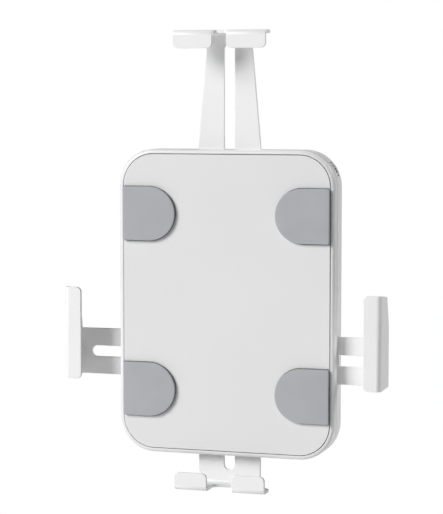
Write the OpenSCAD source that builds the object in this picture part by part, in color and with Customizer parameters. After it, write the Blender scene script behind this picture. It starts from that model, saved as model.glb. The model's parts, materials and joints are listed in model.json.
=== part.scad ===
// Lockable tablet holder: a flat casing with four sliding sheet-steel arms.
// Frame: origin at the centre of the rear fixing pattern, on the rear face.
// +Z is up, +X is to the right as seen from the front, and the front faces -Y.

/* [Casing] */
// Width of the casing
case_w = 133; // [131:1:134]
// Height of the casing
case_h = 182; // [180:1:183]
// Radius of the casing's corners
case_r = 21.5; // [18:0.5:24]
// Depth of the casing
case_d = 18; // [18:0.5:20]
// Width of the rim that shows round the front panel
rim_w = 2.5; // [2.4:0.1:3]
// Depth of the front bezel
bezel_d = 5.9; // [5.5:0.1:6]
// Rounding of the bezel's front edge
edge_r = 2.2; // [1:0.1:2.3]
// Rounding of the rear housing's back edge
back_r = 2.2; // [1:0.1:2.4]
// Thickness of the side wall of the rear housing
wall = 3; // [2.6:0.1:3]
// Thickness of the floor of the rear housing
floor_t = 2.5; // [2.5:0.1:2.8]

/* [Front pads] */
// Thickness of a pad, from the panel to its face
pad_t = 2.3; // [2:0.1:3]
// Length of a pad, from the panel's edge inwards
pad_l = 32.7; // [28:0.1:36]
// Height of a pad
pad_h = 32.2; // [28:0.1:36]
// Height of the pads' centres above and below the middle
pad_z = 52.7; // [48:0.1:56]

/* [Arms] */
// Thickness of the arms' sheet steel
sheet = 2; // [1.8:0.1:2]
// Depth of the arms' front face behind the front of the casing
arm_d = 8.3; // [8.2:0.1:8.3]
// How far a hook's lip stands in front of the casing
lip_out = 13.1; // [10:0.1:16]
// Width of the guide slots in the upright arms
slot_w = 6.6; // [6.6:0.1:7]
// Half the width of the upright arms
arm_hw = 19.2; // [18:0.1:19.2]
// Outer radius of a bend in the sheet
bend_r = 3; // [2.3:0.1:3]

/* [Top arm] */
// Height of the top of the top hook
top_z = 160.6; // [158:0.1:165]
// Travel of the top arm
top_travel = 52; // [52]
// Length of the top hook's lip, with the bend
top_lip = 10.6; // [8:0.1:14]
// Half the width of the top hook
top_hook_hw = 28.1; // [24:0.1:32]
// Half the gap between the top hook's tabs
top_gap_hw = 4.3; // [3:0.1:8]

/* [Bottom arm] */
// Depth of the bottom hook below the middle
bottom_z = 110.5; // [109:0.1:114]
// Travel of the bottom arm
bottom_travel = 15; // [10:1:15]
// Length of the bottom hook's lip, with the bend
bottom_lip = 10.7; // [8:0.1:14]
// Half the width of the bottom hook
bottom_hook_hw = 27.8; // [24:0.1:32]
// Half the gap between the bottom hook's tabs
bottom_gap_hw = 7.7; // [6:0.1:9]

/* [Side arms] */
// Distance from the middle to the outside of a side hook
side_x = 97; // [96.5:0.1:100]
// Travel of each side arm
side_travel = 27.5; // [20:0.5:27.5]
// Height of a side arm's centre line
side_z = -32.3; // [-32.3]
// Width of a side arm
side_w = 28; // [24:0.5:28]
// Length of a side hook's lip, with the bend
side_lip = 10.6; // [8:0.1:14]
// Width of the guide slots in the side arms
side_slot_w = 6.6; // [6.6:0.1:7]
// Height of the side hooks' upper end
side_hook_z = 8.6; // [0:0.1:20]

/* [Fixing pattern] */
// Distance between neighbouring rear fixing holes
vesa = 75; // [75]

/* [Lock] */
// Angle of the lock's axis above the horizontal
lock_a = 30; // [30]
// Depth of the lock's axis behind the front of the casing
lock_d = 11.5; // [11.5]

/* [Hidden] */

$fn = 64;
eps = 0.01;

// Colours
white_coat = [0.93, 0.93, 0.93];
white_shell = [0.88, 0.88, 0.88];
panel_grey = [0.85, 0.85, 0.86];
pad_grey = [0.66, 0.67, 0.69];
steel = [0.72, 0.73, 0.75];
zinc = [0.78, 0.78, 0.76];
brass = [0.80, 0.66, 0.36];
chrome = [0.80, 0.80, 0.82];

// Clearances, and how far joined shapes run into each other
gap = 0.3;
seam = 0.45;
parting = 0.8;
run_gap = 0.05;
lap = 0.2;

// Places along Y: the front of the casing is at -case_d
front_y = -case_d;
panel_rise = 0.3;
pocket_d = 0.6;
pocket_gap = 0.3;
panel_y = front_y - panel_rise;
panel_t = 2.5;
ledge_y = panel_y + panel_t + 0.1;
ledge_t = 2;
ledge_w = 3;
tongue_t = 0.9;
tongue_l = 0.8;
arm_y0 = front_y + arm_d;
arm_y1 = arm_y0 + sheet;
lip_y = front_y - lip_out;
chassis_t = 1.5;
chassis_y1 = arm_y0 - 0.4;
chassis_y0 = chassis_y1 - chassis_t;
rail_y = arm_y1 + gap;
post_y1 = lap - floor_t;
bezel_y1 = front_y + bezel_d;
parting_y = bezel_y1 + parting;

// Corner radii of the casing's layers, which share one centre
inner_r = case_r - wall;
seam_r = case_r - rim_w;
panel_inset = rim_w + seam;
pad_x1 = case_w / 2 - panel_inset;
chassis_inset = 5.5;

// Guide bushes and screws
bush_r = 3;
screw_r = 1.5;
screw_head_r = 2.8;
screw_head_h = 1.6;
screw_hex = 2;
socket_floor = 0.7;
clamp_r = 2;
clamp_head_r = 3.8;
clamp_head_h = 2.4;
clamp_hex = 3;
clamp_play = 0.15;
clamp_sink = 3;
clamp_plate_t = 2;
clamp_plate_w = 12;
clamp_plate_h = 9;
clamp_plate_r = 1.5;
housing_sink = 2.2;
housing_screw_y = panel_y + panel_t + 0.5;
bush_screw_end = 3.5;

// Radii of the posts in the casing
insert_post_r = 5;
bush_post_r = 4.6;
clamp_post_r = 5.6;
screw_post_r = 4.2;
panel_post_r = 3.6;

// Rails that the arms slide on: places of their inner ends and middle lines
rail_w = 2;
upright_rail_x = 13;
top_rail_z = 40;
bottom_rail_z = -67;
side_rail_x = 47;
side_rail_z = 9.5;

// Places of the bushes and clamps, from the middle
top_bush_z = [46, 82];
bottom_bush_z = -71;
bottom_clamp_z = -80;
side_bush_x = 44;
side_clamp_x = 56;
bush_at = [[0, top_bush_z[0]], [0, top_bush_z[1]], [0, bottom_bush_z],
    [-side_bush_x, side_z], [side_bush_x, side_z]];
clamp_at = [[0, bottom_clamp_z], [-side_clamp_x, side_z], [side_clamp_x, side_z]];

// Windows that lighten the chassis plate
window_w = 46;
window_h = 34;
window_r = 6;
window_at = [[-30, 42], [30, 42], [0, 6]];

// Outer ends of the guide slots
top_slot_z = 153;
bottom_slot_z = 100.9;
side_slot_x = 87.5;

// Half the width of the top arm at its hook, and where its taper starts
top_hw = 13;
taper_z = 92;

// Hooks: length of the shelf's wide part, where the gaps between the tabs
// end, corner radii, and the shape of the side hooks
shelf_l = 10;
top_gap_y = lip_y + sheet + 2.5;
bottom_gap_y = front_y + 2.5;
gap_r = 4;
tab_r = 3;
side_lip_r = 3;
side_hook_low = 0.3;
side_hook_back = 3.2;
side_hook_fall = 1.9;

// Inner ends of the arms, which stay apart when all arms are pushed in
ends_apart = 0.8;
top_end_z = side_z + side_w / 2 + ends_apart + top_travel;
bottom_end_z = side_z - side_w / 2 - ends_apart - bottom_travel;
side_end_x = side_travel + ends_apart;

// Notches that lock the top arm
notch_pitch = 4;
notch_z = 37;
notch_w = 2.6;
notch_depth = 2.5;
notch_count = top_travel / notch_pitch + 1;

// Casing screws: one at each place
housing_screw_at = [[-30, 80], [30, 80], [-56, 20], [56, 20], [-50, -75], [50, -75]];
vesa_at = [for (sx = [-1, 1], sz = [-1, 1]) [sx * vesa / 2, sz * vesa / 2]];
insert_r = 3;
insert_l = 6.5;
insert_cover = 0.7;
thread_r = 2;

// Lock: it lies along the radius of the upper right corner
lock_c = [case_w / 2 - case_r, lock_d - case_d, case_h / 2 - case_r];
barrel_r = 3.5;
barrel_in = 5.5;
barrel_sink = 0.2;
cradle_in = 8;
cradle_out = 1.5;
cradle_hw = 6;
cradle_sink = 1;
plug_r = 2.7;
plug_in = 4.5;
plug_sink = 0.9;
key_l = 4.4;
key_w = 1.2;
key_d = 7;
crank_off = 1.2;
crank_r = 0.8;
crank_in = 0.6;
crank_play = 0.12;

// Latch plate
latch_t = 1.5;
latch_y1 = -floor_t - gap;
latch_y0 = latch_y1 - latch_t;
latch_pin_r = 1.5;
latch_pin_set = 1;
latch_hw = 3;
latch_eye_r = 4.6;
latch_head = [44, 69];
latch_foot = [20.4, notch_z - 1.4];
tooth_l = 5;
ear_s = 1.2;
ear_t = 1.5;
ear_x = -4.2;
ear_w = 6.2;
ear_foot = 5;
ear_y = arm_y1 + gap;
latch_pin_at = [[40, 62.7], [26, 45.5]];

// ---------- helpers ----------

// Extrudes an X-Z outline along Y, from y0 to y1
module xz(y0, y1) {
    translate([0, y1, 0]) rotate([90, 0, 0]) linear_extrude(y1 - y0) children();
}

// Extrudes a Y-Z outline along X, from x0 to x1
module yz(x0, x1) {
    translate([x0, 0, 0]) rotate([90, 0, 90]) linear_extrude(x1 - x0) children();
}

// A round bar or hole along Y at [x, z], from y0 to y1
module rod(at, r, y0, y1) {
    translate([at[0], y1, at[1]]) rotate([90, 0, 0]) cylinder(r = r, h = y1 - y0);
}

// A rectangle given by its corners
module rect(x0, y0, x1, y1) {
    translate([x0, y0]) square([x1 - x0, y1 - y0]);
}

// A rectangle with round corners, centred
module round_rect(w, h, r) {
    square([w - 2 * r, h], center = true);
    square([w, h - 2 * r], center = true);
    for (sx = [-1, 1], sy = [-1, 1])
        translate([sx * (w / 2 - r), sy * (h / 2 - r)]) circle(r);
}

// The casing's outline, moved inwards by d
module case_outline(d) {
    round_rect(case_w - 2 * d, case_h - 2 * d, case_r - d);
}

// A slot with round ends along local X, from x0 to x1
module slot(x0, x1, w) {
    rect(x0 + w / 2, -w / 2, x1 - w / 2, w / 2);
    for (x = [x0 + w / 2, x1 - w / 2]) translate([x, 0]) circle(w / 2);
}

// Runs a profile round the casing: its x is the distance from a corner's
// centre, its y lies along Y
module rim() {
    flat_x = case_w - 2 * case_r;
    flat_z = case_h - 2 * case_r;
    for (mx = [0, 1], mz = [0, 1])
        mirror([mx, 0, 0]) mirror([0, 0, mz]) translate([flat_x / 2, 0, flat_z / 2])
            rotate([-90, 0, 0]) mirror([0, 1, 0]) rotate_extrude(angle = 90) children();
    for (mx = [0, 1])
        mirror([mx, 0, 0]) translate([flat_x / 2, 0, -flat_z / 2])
            linear_extrude(flat_z) children();
    for (mz = [0, 1])
        mirror([0, 0, mz]) translate([flat_x / 2, 0, flat_z / 2])
            rotate([0, -90, 0]) linear_extrude(flat_x) children();
}

// A rectangle whose outer corner at (x1, ya) is rounded
module round_edge(x0, x1, ya, yb, r) {
    s = yb > ya ? 1 : -1;
    intersection() {
        rect(x0, min(ya, yb), x1, max(ya, yb));
        union() {
            rect(x0 - r, min(ya + s * r, yb), x1, max(ya + s * r, yb));
            rect(x0 - r, min(ya, yb), x1 - r, max(ya, yb));
            translate([x1 - r, ya + s * r]) circle(r);
        }
    }
}

// ---------- casing ----------

// The bezel's rim and the ledge that carries the front panel
module bezel_profile() {
    difference() {
        round_edge(seam_r, case_r, front_y, bezel_y1, edge_r);
        rect(0, ledge_y + ledge_t, inner_r + tongue_t + 0.2, bezel_y1 + 1);
    }
    rect(seam_r - ledge_w, ledge_y, seam_r + lap, ledge_y + ledge_t);
}

module front_bezel() {
    color(white_coat) rim() bezel_profile();
}

module front_panel() {
    color(panel_grey) {
        difference() {
            xz(panel_y, panel_y + panel_t) case_outline(panel_inset);
            for (mx = [0, 1], z = [-pad_z, pad_z])
                mirror([mx, 0, 0]) xz(panel_y - 1, panel_y + pocket_d)
                    translate([0, z]) pad_outline(pad_x1 + 1, pocket_gap);
        }
        for (p = housing_screw_at)
            difference() {
                rod(p, panel_post_r, panel_y + panel_t - lap, chassis_y0);
                rod(p, screw_r, panel_y + panel_t, chassis_y0 + 1);
            }
    }
}

// Side wall of the rear housing, with the tongue that centres the bezel
module wall_profile() {
    round_edge(inner_r, case_r, 0, parting_y, back_r);
    rect(inner_r, bezel_y1 - tongue_l, inner_r + tongue_t, parting_y + lap);
}

// Openings in the side wall that the arms pass through
module arm_exits() {
    y0 = arm_y0 - gap;
    y1 = arm_y1 + gap;
    hx = arm_hw + gap;
    hz = side_w / 2 + gap;
    for (z = [-1, 1] * case_h / 2)
        translate([-hx, y0, z - wall - 1]) cube([2 * hx, y1 - y0, 2 * wall + 2]);
    translate([-case_w, y0, side_z - hz]) cube([2 * case_w, y1 - y0, 2 * hz]);
}

// Posts that stand on the floor of the rear housing
module floor_posts() {
    for (p = vesa_at) rod(p, insert_post_r, -insert_l - insert_cover, post_y1);
    for (p = housing_screw_at) rod(p, screw_post_r, chassis_y1, post_y1);
    for (p = bush_at) rod(p, bush_post_r, rail_y, post_y1);
    for (p = clamp_at) rod(p, clamp_post_r, rail_y, post_y1);
}

// Rails that the arms slide on
module rails() {
    xz(rail_y, post_y1) for (mx = [0, 1]) mirror([mx, 0]) {
        x = upright_rail_x - rail_w / 2;
        rect(x, top_rail_z, x + rail_w, case_h / 2);
        rect(x, -case_h / 2, x + rail_w, bottom_rail_z);
        for (s = [-1, 1])
            translate([side_rail_x, side_z + s * side_rail_z - rail_w / 2])
                square([case_w / 2 - side_rail_x, rail_w]);
    }
}

// Moves a shape drawn along +X so that it lies along the lock's axis
module on_lock_axis() {
    translate(lock_c) rotate([0, -lock_a, 0]) rotate([0, 90, 0]) children();
}

// Cradle under the lock barrel
module lock_cradle() {
    translate([lock_c[0], 0, lock_c[2]]) rotate([0, -lock_a, 0])
        xz(lock_c[1] + cradle_sink, post_y1)
            rect(cradle_in, -cradle_hw, case_r - cradle_out, cradle_hw);
}

module rear_housing() {
    color(white_shell) difference() {
        union() {
            rim() wall_profile();
            xz(-floor_t, 0) case_outline(back_r);
            floor_posts();
            intersection() {
                rails();
                xz(rail_y, 0) case_outline(wall - lap);
            }
            lock_cradle();
        }
        arm_exits();
        for (p = vesa_at) rod(p, insert_r, -insert_l, 1);
        for (p = housing_screw_at) {
            rod(p, screw_r, chassis_y1 - 1, 1);
            rod(p, screw_head_r + gap, -housing_sink, 1);
        }
        for (p = bush_at) rod(p, screw_r, rail_y - 1, -bush_screw_end);
        for (p = clamp_at) {
            rod(p, clamp_r + clamp_play, rail_y - 1, 1);
            rod(p, clamp_head_r + gap, -clamp_sink, 1);
        }
        for (p = latch_pin_at) rod(p, latch_pin_r, -floor_t - 2, -latch_pin_set);
        on_lock_axis() cylinder(r = barrel_r, h = case_r + 4);
    }
}

module chassis_plate() {
    color(zinc) difference() {
        xz(chassis_y0, chassis_y1) case_outline(chassis_inset);
        for (p = concat(housing_screw_at, bush_at)) rod(p, screw_r, chassis_y0 - 1, chassis_y1 + 1);
        for (p = clamp_at)
            xz(chassis_y0 - 1, chassis_y1 + 1) translate(p)
                square([clamp_plate_w + 2 * gap, clamp_plate_h + 2 * gap], center = true);
        for (p = window_at)
            xz(chassis_y0 - 1, chassis_y1 + 1) translate(p)
                round_rect(window_w, window_h, window_r);
    }
}

// ---------- pads ----------

// Outline of a pad with its straight end at x1, or of its pocket, larger by grow
module pad_outline(x1, grow) {
    x0 = pad_x1 - pad_l + pad_h / 2;
    r = pad_h / 2 + grow;
    intersection() {
        union() {
            rect(x0, -r, x1, r);
            translate([x0, 0]) circle(r);
        }
        rect(0, -r, x1, r);
    }
}

// A pad in its pocket on the right side, or on the left when mx is 1
module pad(mx, z) {
    color(pad_grey) mirror([mx, 0, 0]) xz(panel_y - pad_t, panel_y + pocket_d)
        translate([0, z]) pad_outline(pad_x1, 0);
}

module pad_upper_left() {
    pad(1, pad_z);
}

module pad_upper_right() {
    pad(0, pad_z);
}

module pad_lower_left() {
    pad(1, -pad_z);
}

module pad_lower_right() {
    pad(0, -pad_z);
}

// ---------- arms ----------

// Section of a hooked sheet: x is Y, y runs outwards along the arm.
// It runs from v0 to the shelf at v1 and folds back by the lip's length.
module hook_profile(v0, v1, lip) {
    ri = bend_r - sheet;
    rect(arm_y0, v0, arm_y1, v1 - bend_r);
    rect(lip_y + bend_r, v1 - sheet, arm_y1 - bend_r, v1);
    rect(lip_y, v1 - lip, lip_y + sheet, v1 - bend_r);
    for (end = [0, 1])
        translate([end ? arm_y1 - bend_r : lip_y + bend_r, v1 - bend_r]) intersection() {
            difference() {
                circle(bend_r);
                circle(ri);
            }
            rect(end ? 0 : -bend_r, 0, end ? bend_r : 0, bend_r);
        }
}

// A tab of the lip, from x0 to x1, with rounded corners at its free edge v0
module tab(x0, x1, v0, v1, r) {
    rect(x0, v0 + r, x1, v1);
    rect(x0 + r, v0, x1 - r, v1);
    for (x = [x0 + r, x1 - r]) translate([x, v0 + r]) circle(r);
}

// An upright arm that points along +Z, with a hook and two tabs at its end.
// hw0 is half its width at v_taper and below, hw1 at the shelf.
module upright_arm(v0, v1, v_taper, hw0, hw1, lip, hook_hw, gap_hw, notch_back, slot0, slot1) {
    wide_y = lip_y + shelf_l;
    difference() {
        intersection() {
            rotate([90, 0, 90]) translate([0, 0, -hook_hw])
                linear_extrude(2 * hook_hw) hook_profile(v0, v1, lip);
            union() {
                // The flat arm, trimmed from the front
                xz(arm_y0 - sheet, arm_y1 + 1) polygon([[-hw0, v0 - 1], [hw0, v0 - 1],
                    [hw0, v_taper], [hw1, v1 + 1], [-hw1, v1 + 1], [-hw0, v_taper]]);
                // The shelf, trimmed from above
                translate([0, 0, v1 - sheet - 1]) linear_extrude(sheet + 2) difference() {
                    polygon([[-hook_hw, lip_y + sheet], [hook_hw, lip_y + sheet],
                        [hook_hw, wide_y], [hw1, arm_y0 - sheet], [-hw1, arm_y0 - sheet],
                        [-hook_hw, wide_y]]);
                    notch_outline(gap_hw, notch_back);
                }
                // The tabs, trimmed from the front
                xz(lip_y - 1, lip_y + bend_r) for (mx = [0, 1]) mirror([mx, 0, 0])
                    tab(gap_hw, hook_hw, v1 - lip, v1 + 5, tab_r);
            }
        }
        xz(arm_y0 - 1, arm_y1 + 1) rotate([0, 0, 90]) slot(slot0, slot1, slot_w);
    }
}

// The gap between two tabs, seen from above, as deep as yb
module notch_outline(hw, yb) {
    r = min(hw - eps, (yb - lip_y) / 2, gap_r);
    rect(-hw, lip_y - 1, hw, yb - r);
    rect(-hw + r, lip_y - 1, hw - r, yb);
    for (s = [-1, 1]) translate([s * (hw - r), yb - r]) circle(r);
}

// Notches in the edge of the top arm that the latch drops into
module notches() {
    for (i = [0:notch_count - 1])
        translate([arm_hw - notch_depth, arm_y0 - 1, notch_z + i * notch_pitch - notch_w / 2])
            cube([notch_depth + 1, sheet + 2, notch_w]);
}

module top_arm() {
    color(white_coat) difference() {
        upright_arm(top_end_z, top_z, taper_z, arm_hw, top_hw, top_lip, top_hook_hw,
            top_gap_hw, top_gap_y, top_bush_z[0] - slot_w / 2, top_slot_z);
        notches();
    }
}

module bottom_arm() {
    color(white_coat) mirror([0, 0, 1])
        upright_arm(-bottom_end_z, bottom_z, bottom_z - bend_r, arm_hw, arm_hw, bottom_lip,
            bottom_hook_hw, bottom_gap_hw, bottom_gap_y, -bottom_bush_z - slot_w / 2,
            bottom_slot_z);
}

// The right arm; the left one is its mirror image
module side_arm() {
    z0 = side_z - side_w / 2;
    z1 = side_z + side_w / 2;
    hook_z0 = z0 - side_hook_low;
    difference() {
        intersection() {
            rotate(a = 180, v = [1, 1, 0]) translate([0, 0, -100]) linear_extrude(200)
                hook_profile(side_end_x, side_x, side_lip);
            union() {
                // The flat arm, trimmed from the front
                xz(arm_y0 - 1, arm_y1 + 1) rect(0, z0, side_x - bend_r + 0.5, z1);
                // The outer wall, trimmed from the side
                yz(side_x - bend_r, side_x + 1) polygon([[lip_y + bend_r, hook_z0],
                    [lip_y + bend_r, side_hook_z],
                    [front_y + side_hook_back, side_hook_z - side_hook_fall],
                    [arm_y1, z1], [arm_y1, z0]]);
                // The lip, trimmed from the front
                xz(lip_y - 1, lip_y + bend_r) mirror([1, -1])
                    tab(hook_z0, side_hook_z, side_x - side_lip, side_x + 1, side_lip_r);
            }
        }
        xz(arm_y0 - 1, arm_y1 + 1) translate([0, side_z])
            slot(side_bush_x - side_slot_w / 2, side_slot_x, side_slot_w);
    }
}

module right_arm() {
    color(white_coat) side_arm();
}

module left_arm() {
    color(white_coat) mirror([1, 0, 0]) side_arm();
}

// ---------- guides and clamps ----------

// A collar that stands on its post inside an arm's slot
module guide_bush(at) {
    color(brass) difference() {
        rod(at, bush_r, chassis_y1, rail_y);
        rod(at, screw_r, chassis_y1 - 1, rail_y + 1);
    }
}

module top_guide_bushes() {
    for (z = top_bush_z) guide_bush([0, z]);
}

module bottom_guide_bush() {
    guide_bush([0, bottom_bush_z]);
}

module left_guide_bush() {
    guide_bush([-side_bush_x, side_z]);
}

module right_guide_bush() {
    guide_bush([side_bush_x, side_z]);
}

// A hexagon socket in a screw's head, sunk from y0 to y1
module hex_socket(at, across, y0, y1) {
    translate([at[0], y1, at[1]]) rotate([90, 0, 0])
        cylinder(d = across * 2 / sqrt(3), h = y1 - y0, $fn = 6);
}

// Screws that hold the chassis plate down on the guide bushes
module bush_screws() {
    color(steel) for (p = bush_at) difference() {
        union() {
            rod(p, screw_head_r, chassis_y0 - screw_head_h, chassis_y0);
            rod(p, screw_r, chassis_y0 - eps, -bush_screw_end);
        }
        hex_socket(p, screw_hex, chassis_y0 - screw_head_h - 1, chassis_y0 - socket_floor);
    }
}

// A clamp screw, turned from the back of the casing
module clamp_screw(at) {
    color(steel) difference() {
        union() {
            rod(at, clamp_head_r, -clamp_sink, -clamp_sink + clamp_head_h);
            rod(at, clamp_r, arm_y0 - gap - clamp_plate_t, -clamp_sink + eps);
        }
        hex_socket(at, clamp_hex, -clamp_sink + socket_floor, 1);
    }
}

module bottom_clamp_screw() {
    clamp_screw([0, bottom_clamp_z]);
}

module left_clamp_screw() {
    clamp_screw([-side_clamp_x, side_z]);
}

module right_clamp_screw() {
    clamp_screw([side_clamp_x, side_z]);
}

// A tapped plate that a clamp screw pulls against the front of an arm
module clamp_plate(at) {
    y1 = arm_y0 - gap;
    color(zinc) difference() {
        xz(y1 - clamp_plate_t, y1) translate(at)
            round_rect(clamp_plate_w, clamp_plate_h, clamp_plate_r);
        rod(at, clamp_r, y1 - clamp_plate_t - 1, y1 + 1);
    }
}

module bottom_clamp_plate() {
    clamp_plate([0, bottom_clamp_z]);
}

module left_clamp_plate() {
    clamp_plate([-side_clamp_x, side_z]);
}

module right_clamp_plate() {
    clamp_plate([side_clamp_x, side_z]);
}

// ---------- fasteners ----------

// Screws that go through the housing and the chassis into the front panel
module housing_screws() {
    color(steel) for (p = housing_screw_at) difference() {
        union() {
            rod(p, screw_head_r, -housing_sink, -housing_sink + screw_head_h);
            rod(p, screw_r, housing_screw_y, -housing_sink + eps);
        }
        hex_socket(p, screw_hex, -housing_sink + socket_floor, 1);
    }
}

// Threaded inserts of the rear fixing pattern, open at the back
module vesa_inserts() {
    color(brass) for (p = vesa_at) difference() {
        rod(p, insert_r, -insert_l, 0);
        rod(p, thread_r, -insert_l - 1, 1);
    }
}

// ---------- lock ----------

module lock_barrel() {
    color(chrome) on_lock_axis() difference() {
        translate([0, 0, barrel_in])
            cylinder(r = barrel_r, h = case_r - barrel_sink - barrel_in);
        cylinder(r = plug_r + run_gap, h = case_r + 1);
    }
}

// The plug that the key turns, with the crank pin that moves the latch
module lock_plug() {
    face = case_r - plug_sink;
    color(chrome) on_lock_axis() difference() {
        union() {
            translate([0, 0, plug_in]) cylinder(r = plug_r, h = face - plug_in);
            translate([-crank_off, crank_off, crank_in]) cylinder(r = crank_r, h = plug_in);
        }
        translate([-key_l / 2, -key_w / 2, face - key_d]) cube([key_l, key_w, key_d + 1]);
    }
}

// A straight bar of half width r between two places
module link(p, q, r) {
    d = q - p;
    translate(p) rotate([0, 0, atan2(d[1], d[0])]) rect(0, -r, norm(d), r);
}

// The latch plate slides on two pins. Its tooth stands behind the edge of the
// top arm and its ear stands round the crank pin.
module latch_plate() {
    slot_x0 = -crank_off * sqrt(2) - crank_r - gap;
    slot_x1 = -crank_off + crank_r + gap;
    slot_hy = crank_r + crank_play;
    color(zinc) {
        difference() {
            union() {
                xz(latch_y0, latch_y1) {
                    link(latch_foot, latch_pin_at[1], latch_hw);
                    link(latch_pin_at[1], latch_pin_at[0], latch_hw);
                    link(latch_pin_at[0], latch_head, latch_hw);
                    for (p = latch_pin_at) translate(p) circle(latch_eye_r);
                }
                // Foot and ear, in line with the lock
                on_lock_axis() {
                    translate([ear_x, latch_y0 - lock_c[1], -ear_foot])
                        cube([ear_w, latch_t, ear_foot + ear_s + ear_t]);
                    translate([ear_x, ear_y - lock_c[1], ear_s])
                        cube([ear_w, latch_y1 - ear_y, ear_t]);
                }
            }
            for (p = latch_pin_at) rod(p, latch_pin_r + run_gap, latch_y0 - 1, latch_y1 + 1);
            on_lock_axis() translate([slot_x0, crank_off - slot_hy, ear_s - 1])
                cube([slot_x1 - slot_x0, 2 * slot_hy, ear_t + 2]);
        }
        translate([arm_hw - notch_depth + gap, ear_y, notch_z - notch_w / 2 + gap])
            cube([tooth_l, latch_y1 - ear_y, notch_w - 2 * gap]);
    }
}

// Pins that guide the latch plate, set in the floor of the housing
module latch_pins() {
    color(steel) for (p = latch_pin_at)
        rod(p, latch_pin_r, chassis_y1 + 2 * run_gap, -latch_pin_set);
}

front_panel();
front_bezel();
rear_housing();
chassis_plate();
pad_upper_left();
pad_upper_right();
pad_lower_left();
pad_lower_right();
top_arm();
bottom_arm();
left_arm();
right_arm();
top_guide_bushes();
bottom_guide_bush();
left_guide_bush();
right_guide_bush();
bush_screws();
bottom_clamp_screw();
left_clamp_screw();
right_clamp_screw();
bottom_clamp_plate();
left_clamp_plate();
right_clamp_plate();
housing_screws();
vesa_inserts();
lock_barrel();
lock_plug();
latch_plate();
latch_pins();
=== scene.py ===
"""A lockable tablet holder on a plain white ground: looks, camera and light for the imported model."""
import json
import math

import bmesh
import bpy
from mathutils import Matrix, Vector


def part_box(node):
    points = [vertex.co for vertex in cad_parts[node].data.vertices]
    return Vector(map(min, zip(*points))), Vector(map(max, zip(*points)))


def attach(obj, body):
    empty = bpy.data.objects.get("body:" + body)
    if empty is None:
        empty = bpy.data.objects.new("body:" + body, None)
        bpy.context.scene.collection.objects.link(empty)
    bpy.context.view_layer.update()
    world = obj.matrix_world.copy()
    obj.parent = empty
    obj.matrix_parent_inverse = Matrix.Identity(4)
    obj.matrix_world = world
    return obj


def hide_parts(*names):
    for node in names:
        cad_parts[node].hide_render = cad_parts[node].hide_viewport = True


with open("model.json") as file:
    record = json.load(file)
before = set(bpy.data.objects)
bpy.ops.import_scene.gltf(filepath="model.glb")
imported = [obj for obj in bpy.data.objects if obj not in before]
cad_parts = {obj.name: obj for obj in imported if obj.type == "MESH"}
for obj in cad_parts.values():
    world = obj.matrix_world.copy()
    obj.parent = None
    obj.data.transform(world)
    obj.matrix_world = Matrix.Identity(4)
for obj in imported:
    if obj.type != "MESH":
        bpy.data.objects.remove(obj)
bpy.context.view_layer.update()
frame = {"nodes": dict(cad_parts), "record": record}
MM = 0.001
MICRON = 0.000001

# Camera: place, tilt from level, turn to the left, and lens
CAMERA_PLACE = (0.33004, -1.0836, 0.1209)
CAMERA_TILT = 4.7716
CAMERA_TURN = 17.3232
CAMERA_LENS = 132.99

# Studio: the world's strength as a light, the lights' distance, and the floor's height and radius
AMBIENT = 0.09
LIGHT_DISTANCE = 4.0
FLOOR_Z = -0.45
FLOOR_R = 1.4

# Foam pads: rolled edge, crown, corner at the panel's edge, back inset and chamfer, and mesh steps
EDGE = 0.4 * MM
CROWN = 0.12 * MM
PAD_CORNER = 1.0 * MM
SMALLEST_CORNER = 0.2 * MM
BACK_INSET = 0.3 * MM
BACK_CHAMFER = 0.2 * MM
ROLL_STEPS = 7
CROWN_STEPS = 6
CROWN_REACH = 0.92

# Rounding of the CAD nodes' sharp edges: width and number of segments
SHARP_ANGLE = 35
FLAT_ANGLE = 0.6
WELD_DISTANCE = 0.01 * MM
ROUNDING = {
    "top_arm": (0.2 * MM, 3),
    "bottom_arm": (0.4 * MM, 3),
    "left_arm": (0.4 * MM, 3),
    "right_arm": (0.4 * MM, 3),
    "front_panel": (0.15 * MM, 3),
    "rear_housing": (0.3 * MM, 3),
    "housing_screws": (0.12 * MM, 2),
    "vesa_inserts": (0.12 * MM, 2),
    "lock_barrel": (0.12 * MM, 2),
    "lock_plug": (0.12 * MM, 2),
}


# ---------- node helpers ----------

def new_material(name):
    """A node material, with its node tree and its Principled shader."""
    material = bpy.data.materials.new(name)
    material.use_nodes = True
    tree = material.node_tree
    shader = tree.nodes["Principled BSDF"]
    return material, tree, shader


def object_coordinates(tree, stretch=(1, 1, 1)):
    """Coordinates in metres that stay on the piece as it moves."""
    where = tree.nodes.new("ShaderNodeTexCoord")
    mapping = tree.nodes.new("ShaderNodeMapping")
    mapping.inputs["Scale"].default_value = stretch
    tree.links.new(where.outputs["Object"], mapping.inputs["Vector"])
    return mapping.outputs["Vector"]


def noise(tree, vector, scale, detail=3.0, roughness=0.5):
    """Value noise; scale is in cells per metre."""
    node = tree.nodes.new("ShaderNodeTexNoise")
    node.inputs["Scale"].default_value = scale
    node.inputs["Detail"].default_value = detail
    node.inputs["Roughness"].default_value = roughness
    tree.links.new(vector, node.inputs["Vector"])
    return node.outputs["Fac"]


def cells(tree, vector, scale):
    """Distance to the nearest cell centre; scale is in cells per metre."""
    node = tree.nodes.new("ShaderNodeTexVoronoi")
    node.inputs["Scale"].default_value = scale
    tree.links.new(vector, node.inputs["Vector"])
    return node.outputs["Distance"]


def remap(tree, value, low, high, from_low=0.3, from_high=0.7):
    """Spreads a noise value over a new range."""
    node = tree.nodes.new("ShaderNodeMapRange")
    node.inputs["From Min"].default_value = from_low
    node.inputs["From Max"].default_value = from_high
    node.inputs["To Min"].default_value = low
    node.inputs["To Max"].default_value = high
    tree.links.new(value, node.inputs["Value"])
    return node.outputs["Result"]


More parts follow.
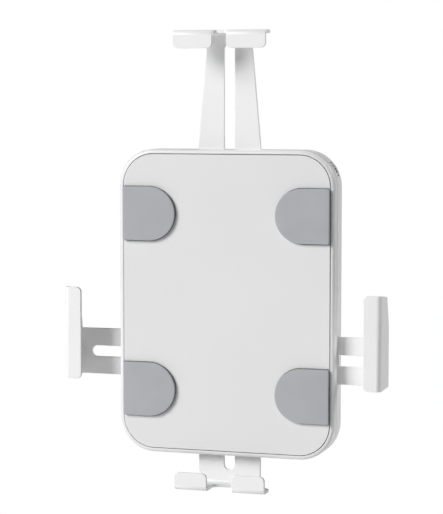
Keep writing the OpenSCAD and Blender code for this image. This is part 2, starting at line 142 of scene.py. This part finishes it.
def blend_colours(tree, factor, first, second):
    """A colour between two, by a factor."""
    node = tree.nodes.new("ShaderNodeMix")
    node.data_type = "RGBA"
    node.inputs["A"].default_value = (*first, 1)
    node.inputs["B"].default_value = (*second, 1)
    tree.links.new(factor, node.inputs["Factor"])
    return node.outputs["Result"]


def add_bump(tree, shader, heights):
    """Adds bumps one on another; heights holds (value, depth in metres) pairs."""
    normal = None
    for value, depth in heights:
        node = tree.nodes.new("ShaderNodeBump")
        node.inputs["Strength"].default_value = 1.0
        node.inputs["Distance"].default_value = depth
        tree.links.new(value, node.inputs["Height"])
        if normal is not None:
            tree.links.new(normal, node.inputs["Normal"])
        normal = node.outputs["Normal"]
    tree.links.new(normal, shader.inputs["Normal"])


# ---------- materials ----------

def powder_coat(name, light, dark, roughness):
    """Satin powder coat: faint orange peel, fine grain and slight tone changes."""
    material, tree, shader = new_material(name)
    where = object_coordinates(tree)
    peel = noise(tree, where, 900, 2.0)
    grain = noise(tree, where, 5200, 2.0)
    tone = noise(tree, where, 35, 4.0)
    tree.links.new(blend_colours(tree, remap(tree, tone, 0, 1), dark, light), shader.inputs["Base Color"])
    tree.links.new(remap(tree, grain, roughness - 0.05, roughness + 0.06), shader.inputs["Roughness"])
    shader.inputs["IOR"].default_value = 1.5
    add_bump(tree, shader, [(peel, 8 * MICRON), (grain, 2.5 * MICRON)])
    return material


def moulded_plastic(name, light, dark, roughness, grain_scale, grain_depth):
    """Moulded plastic with a spark-eroded grain."""
    material, tree, shader = new_material(name)
    where = object_coordinates(tree)
    grain = noise(tree, where, grain_scale, 3.0, 0.6)
    pits = cells(tree, where, grain_scale * 0.7)
    tone = noise(tree, where, 22, 3.0)
    tree.links.new(blend_colours(tree, remap(tree, tone, 0, 1), dark, light), shader.inputs["Base Color"])
    tree.links.new(remap(tree, grain, roughness - 0.06, roughness + 0.06), shader.inputs["Roughness"])
    shader.inputs["IOR"].default_value = 1.46
    add_bump(tree, shader, [(grain, grain_depth), (pits, grain_depth * 0.5)])
    return material


def pad_foam():
    """Closed-cell grey foam: a soft, matt skin on the face; the sides, which turn away from the front, get
    a darker colour as painted shade.
    """
    material, tree, shader = new_material("pad_foam")
    where = object_coordinates(tree)
    pores = cells(tree, where, 3200)
    grain = noise(tree, where, 2400, 4.0, 0.6)
    tone = noise(tree, where, 60, 3.0)
    skin = blend_colours(tree, remap(tree, tone, 0, 1), (0.42, 0.427, 0.45), (0.45, 0.457, 0.48))
    # Painted shade: the pad's sides are coloured darker than its face, chosen by which way the surface
    # turns, to stand in for the shade on its side walls.
    facing_source = tree.nodes.new("ShaderNodeTexCoord")
    split = tree.nodes.new("ShaderNodeSeparateXYZ")
    tree.links.new(facing_source.outputs["Normal"], split.inputs["Vector"])
    shade_by_facing = remap(tree, split.outputs["Y"], 0, 1, -0.25, -0.75)
    mix = tree.nodes.new("ShaderNodeMix")
    mix.data_type = "RGBA"
    # The darker painted-shade colour of the pad's sides.
    mix.inputs["A"].default_value = (0.3, 0.303, 0.315, 1)
    tree.links.new(skin, mix.inputs["B"])
    tree.links.new(shade_by_facing, mix.inputs["Factor"])
    tree.links.new(mix.outputs["Result"], shader.inputs["Base Color"])
    tree.links.new(remap(tree, grain, 0.74, 0.9), shader.inputs["Roughness"])
    shader.inputs["Sheen Weight"].default_value = 0.08
    shader.inputs["Sheen Roughness"].default_value = 0.5
    shader.inputs["Specular IOR Level"].default_value = 0.3
    add_bump(tree, shader, [(pores, 30 * MICRON), (grain, 30 * MICRON)])
    return material


def bare_metal(name, light, dark, roughness, stretch, scale=1400):
    """Metal with fine tool or rolling marks along one direction."""
    material, tree, shader = new_material(name)
    where = object_coordinates(tree, stretch)
    marks = noise(tree, where, scale, 4.0, 0.6)
    tone = noise(tree, where, 120, 3.0)
    tree.links.new(blend_colours(tree, remap(tree, tone, 0, 1), dark, light), shader.inputs["Base Color"])
    shader.inputs["Metallic"].default_value = 1.0
    tree.links.new(remap(tree, marks, roughness - 0.07, roughness + 0.08), shader.inputs["Roughness"])
    add_bump(tree, shader, [(marks, 6 * MICRON)])
    return material


def satin_nickel(name, light, dark, roughness):
    """Satin nickel plate on a die-cast lock: a bright, half metallic skin with fine blast marks."""
    material, tree, shader = new_material(name)
    where = object_coordinates(tree)
    grain = noise(tree, where, 6000, 3.0)
    tone = noise(tree, where, 150, 3.0)
    tree.links.new(blend_colours(tree, remap(tree, tone, 0, 1), dark, light), shader.inputs["Base Color"])
    shader.inputs["Metallic"].default_value = 0.6
    tree.links.new(remap(tree, grain, roughness - 0.05, roughness + 0.08), shader.inputs["Roughness"])
    add_bump(tree, shader, [(grain, 5 * MICRON)])
    return material


MATERIALS = {
    "white_coated_steel": powder_coat("white_coated_steel", (0.91, 0.91, 0.91), (0.89, 0.89, 0.895), 0.42),
    "bezel_white": powder_coat("bezel_white", (0.84, 0.84, 0.84), (0.81, 0.81, 0.815), 0.34),
    "housing_white": moulded_plastic("housing_white", (0.84, 0.84, 0.84), (0.81, 0.81, 0.815),
                                     0.5, 3800, 10 * MICRON),
    "panel_grey": moulded_plastic("panel_grey", (0.80, 0.80, 0.80), (0.785, 0.785, 0.79),
                                  0.5, 5200, 6 * MICRON),
    "pad_foam": pad_foam(),
    "zinc_plate": bare_metal("zinc_plate", (0.66, 0.67, 0.68), (0.56, 0.57, 0.6), 0.38, (1, 1, 0.05)),
    "screw_steel": bare_metal("screw_steel", (0.58, 0.58, 0.6), (0.5, 0.5, 0.52), 0.3, (1, 0.2, 1)),
    "brass": bare_metal("brass", (0.80, 0.62, 0.33), (0.72, 0.54, 0.27), 0.28, (1, 0.2, 1)),
    "lock_chrome": satin_nickel("lock_chrome", (0.70, 0.70, 0.71), (0.64, 0.64, 0.655), 0.38),
}


def dress_cad_nodes():
    """Gives every CAD node the material of its slot in the record."""
    for part in frame["record"]["subparts"]:
        mesh = frame["nodes"][part["node"]].data
        mesh.materials.clear()
        mesh.materials.append(MATERIALS[part["material_slot"]])


def soften(node, width, segments):
    """Rounds a CAD node's sharp edges as coating and moulding do. Not for the front bezel: its
    ring-shaped front face, once merged, is drawn right across the joint round the panel."""
    piece = frame["nodes"][node]
    weld = piece.modifiers.new("weld", "WELD")
    weld.merge_threshold = WELD_DISTANCE
    flat = piece.modifiers.new("flat", "DECIMATE")
    flat.decimate_type = "DISSOLVE"
    flat.angle_limit = math.radians(FLAT_ANGLE)
    bevel = piece.modifiers.new("bevel", "BEVEL")
    bevel.width = width
    bevel.segments = segments
    bevel.limit_method = "ANGLE"
    bevel.angle_limit = math.radians(SHARP_ANGLE)
    bevel.use_clamp_overlap = False
    bevel.harden_normals = True


# ---------- pads ----------

def pad_ring(edge, middle, half, corner, inset):
    """The pad's outline moved inwards, as (X, Z) from its centre line: a straight end at the
    panel's edge, on the +X side, and a round end inwards."""
    corner = max(corner - inset, SMALLEST_CORNER)
    reach, top = edge - inset, half - inset
    points = []

    def arc(cx, cz, radius, start, end, steps):
        for i in range(steps + 1):
            turn = math.radians(start + (end - start) * i / steps)
            points.append((cx + radius * math.cos(turn), cz + radius * math.sin(turn)))

    def line(x, z, steps):
        x0, z0 = points[-1]
        for i in range(1, steps):
            points.append((x0 + (x - x0) * i / steps, z0 + (z - z0) * i / steps))

    arc(reach - corner, top - corner, corner, 0, 90, 5)
    line(middle, top, 8)
    arc(middle, 0, top, 90, 270, 44)
    line(reach - corner, -top, 8)
    arc(reach - corner, corner - top, corner, 270, 360, 5)
    line(*points[0], 10)
    return points


def build_pad(node):
    """A closed-cell foam pad: straight sides, a soft rolled edge and a low crown."""
    low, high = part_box(node)
    side = 1 if high[0] > 0 else -1
    outer = max(abs(low[0]), abs(high[0]))
    inner = min(abs(low[0]), abs(high[0]))
    half = (high[2] - low[2]) / 2
    z_mid = (high[2] + low[2]) / 2
    front, back = low[1], high[1]
    # (inset, Y): back edge, side, rolled edge, then the crown
    rings = [(BACK_INSET, back), (0, back - BACK_CHAMFER), (0, front + CROWN + EDGE)]
    for i in range(1, ROLL_STEPS + 1):
        turn = math.pi / 2 * i / ROLL_STEPS
        rings.append((EDGE * (1 - math.cos(turn)), front + CROWN + EDGE * (1 - math.sin(turn))))
    for i in range(1, CROWN_STEPS + 1):
        part = i / CROWN_STEPS
        rings.append((EDGE + (half - EDGE) * CROWN_REACH * part, front + CROWN * (1 - part) ** 2))
    bm = bmesh.new()
    loops = []
    for inset, y in rings:
        ring = pad_ring(outer, inner + half, half, PAD_CORNER, inset)
        loops.append([bm.verts.new((side * x, y, z_mid + z)) for x, z in ring])
    for first, second in zip(loops, loops[1:]):
        for i in range(len(first)):
            j = (i + 1) % len(first)
            bm.faces.new((first[i], first[j], second[j], second[i]))
    bm.faces.new(loops[0])
    bm.faces.new(loops[-1])
    bmesh.ops.recalc_face_normals(bm, faces=bm.faces)
    for shade_by_facing in bm.faces:
        shade_by_facing.smooth = True
    mesh = bpy.data.meshes.new(node + "_foam")
    bm.to_mesh(mesh)
    bm.free()
    mesh.materials.append(MATERIALS["pad_foam"])
    pad = bpy.data.objects.new(node + "_foam", mesh)
    bpy.context.collection.objects.link(pad)
    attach(pad, "housing")
    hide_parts(node)


dress_cad_nodes()
for node, (width, segments) in ROUNDING.items():
    soften(node, width, segments)
for pad in ("pad_upper_left", "pad_upper_right", "pad_lower_left", "pad_lower_right"):
    build_pad(pad)


# ---------- camera, light and ground ----------

def add_camera():
    """A long lens to the right of the middle and a little above it."""
    data = bpy.data.cameras.new("camera")
    camera = bpy.data.objects.new("camera", data)
    bpy.context.collection.objects.link(camera)
    camera.location = CAMERA_PLACE
    camera.rotation_euler = (math.radians(90 - CAMERA_TILT), 0, math.radians(CAMERA_TURN))
    data.lens = CAMERA_LENS
    data.clip_start = 0.05
    bpy.context.scene.camera = camera


def add_soft_box(name, azimuth, elevation, size, level):
    """A square soft box that looks at the holder. Azimuth 0 is in front and 90 on the right;
    level is the brightness that it gives a white surface square to it."""
    turn, lift = math.radians(azimuth), math.radians(elevation)
    away = Vector((math.sin(turn) * math.cos(lift), -math.cos(turn) * math.cos(lift), math.sin(lift)))
    data = bpy.data.lights.new(name, "AREA")
    data.energy = level * (math.pi * LIGHT_DISTANCE) ** 2
    data.size = size
    light = bpy.data.objects.new(name, data)
    bpy.context.collection.objects.link(light)
    light.location = away * LIGHT_DISTANCE
    light.rotation_euler = (-away).to_track_quat("-Z", "Y").to_euler()


def add_ground():
    """A round pale floor below the holder, whose outer ring glows with painted light so it brightens to
    the backdrop's white at its edge.
    """
    bpy.ops.mesh.primitive_circle_add(vertices=160, radius=FLOOR_R, fill_type="NGON",
                                      location=(0, 0, FLOOR_Z))
    floor = bpy.context.object
    floor.name = "floor"
    material, tree, shader = new_material("floor")
    shader.inputs["Base Color"].default_value = (0.9, 0.9, 0.9, 1)
    shader.inputs["Roughness"].default_value = 0.9
    shader.inputs["Emission Color"].default_value = (1, 1, 1, 1)
    where = tree.nodes.new("ShaderNodeTexCoord")
    distance = tree.nodes.new("ShaderNodeVectorMath")
    distance.operation = "LENGTH"
    tree.links.new(where.outputs["Object"], distance.inputs[0])
    # Painted light: emission rising from 0 to 0.5 over the outer ring makes the floor glow and light the
    # holder from below like a ring light.
    glow = remap(tree, distance.outputs["Value"], 0, 0.5, 0.6 * FLOOR_R, FLOOR_R)
    tree.links.new(glow, shader.inputs["Emission Strength"])
    floor.data.materials.append(material)


def add_world():
    """A white studio: full white behind the holder, softer as a light."""
    world = bpy.data.worlds.new("studio")
    world.use_nodes = True
    bpy.context.scene.world = world
    tree = world.node_tree
    backdrop = tree.nodes["Background"]
    backdrop.inputs["Color"].default_value = (1, 1, 1, 1)
    backdrop.inputs["Strength"].default_value = 1.0
    ambient = tree.nodes.new("ShaderNodeBackground")
    ambient.inputs["Color"].default_value = (1, 1, 1, 1)
    ambient.inputs["Strength"].default_value = AMBIENT
    path = tree.nodes.new("ShaderNodeLightPath")
    mix = tree.nodes.new("ShaderNodeMixShader")
    tree.links.new(path.outputs["Is Camera Ray"], mix.inputs["Fac"])
    tree.links.new(ambient.outputs["Background"], mix.inputs[1])
    tree.links.new(backdrop.outputs["Background"], mix.inputs[2])
    tree.links.new(mix.outputs["Shader"], tree.nodes["World Output"].inputs["Surface"])


add_camera()
add_world()
add_ground()
add_soft_box("key", -43, 27, 1.9, 1.0)
add_soft_box("fill", 120, 36, 1.8, 0.59)
bpy.context.scene.view_settings.view_transform = "Standard"
